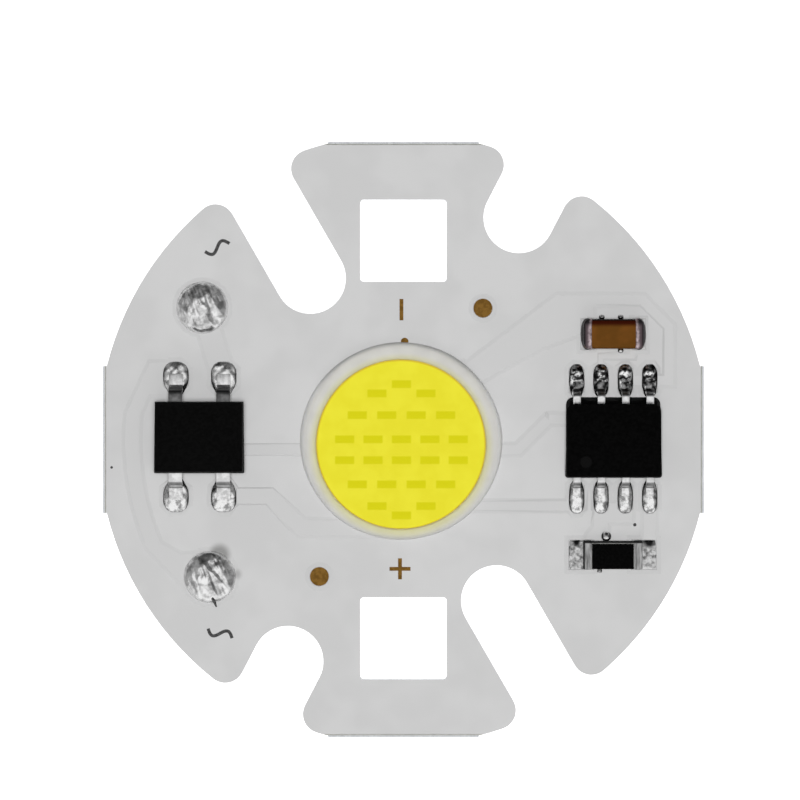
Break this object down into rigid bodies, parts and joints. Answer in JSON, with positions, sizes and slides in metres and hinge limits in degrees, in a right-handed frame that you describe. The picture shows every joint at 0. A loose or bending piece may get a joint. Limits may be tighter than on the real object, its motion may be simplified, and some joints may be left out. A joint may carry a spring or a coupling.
{
  "type": "led module",
  "caption": "Round aluminium-core LED board: phosphor-filled dam over LED dies, bridge rectifier, linear driver, chip capacitor and resistor, two mains wire pads.",
  "frame": {"origin": "centre of the board's flat back face, between the break-off flats", "axes": "+Z out of the lit face, +X from the rectifier towards the driver, +Y towards the line wire pad"},
  "size_m": [0.0316, 0.0312, 0.0037],
  "materials": {
    "aluminium": "punched plate, satin",
    "dielectric": "filled epoxy film",
    "copper": "bare copper, lightly browned",
    "white_mask": "white solder mask, satin",
    "dam_silicone": "cloudy silicone, smooth",
    "phosphor": "yellow phosphor in silicone, smooth",
    "die": "sapphire chip",
    "gold": "gold wire",
    "black_mould": "moulded epoxy, dull black",
    "tinned_lead": "tin-plated",
    "solder": "reflowed solder, bright",
    "capacitor_ceramic": "brown ceramic",
    "chip_end": "plated chip terminal",
    "alumina": "white ceramic",
    "black_overcoat": "black glass overcoat"
  },
  "bodies": {
    "root": {"aluminium_base": "aluminium", "dielectric_layer": "dielectric", "copper_line": "copper", "copper_neutral": "copper", "copper_plus": "copper", "copper_ground": "copper", "copper_return": "copper", "copper_sense": "copper", "fiducial_dots": "copper", "solder_mask": "white_mask", "dam_ring": "dam_silicone", "phosphor_fill": "phosphor", "led_row_1": "die", "led_row_2": "die", "led_row_3": "die", "led_row_4": "die", "led_row_5": "die", "led_row_6": "die", "bond_wires": "gold", "rectifier_body": "black_mould", "rectifier_lead_1": "tinned_lead", "rectifier_lead_2": "tinned_lead", "rectifier_lead_3": "tinned_lead", "rectifier_lead_4": "tinned_lead", "rectifier_joint_1": "solder", "rectifier_joint_2": "solder", "rectifier_joint_3": "solder", "rectifier_joint_4": "solder", "driver_body": "black_mould", "driver_lead_1": "tinned_lead", "driver_lead_2": "tinned_lead", "driver_lead_3": "tinned_lead", "driver_lead_4": "tinned_lead", "driver_lead_5": "tinned_lead", "driver_lead_6": "tinned_lead", "driver_lead_7": "tinned_lead", "driver_lead_8": "tinned_lead", "driver_joint_1": "solder", "driver_joint_2": "solder", "driver_joint_3": "solder", "driver_joint_4": "solder", "driver_joint_5": "solder", "driver_joint_6": "solder", "driver_joint_7": "solder", "driver_joint_8": "solder", "capacitor_body": "capacitor_ceramic", "capacitor_end_left": "chip_end", "capacitor_joint_left": "solder", "capacitor_end_right": "chip_end", "capacitor_joint_right": "solder", "resistor_ceramic": "alumina", "resistor_overcoat": "black_overcoat", "resistor_end_left": "chip_end", "resistor_joint_left": "solder", "resistor_end_right": "chip_end", "resistor_joint_right": "solder", "wire_pad_line": "solder", "wire_pad_neutral": "solder"}
  },
  "joints": []
}
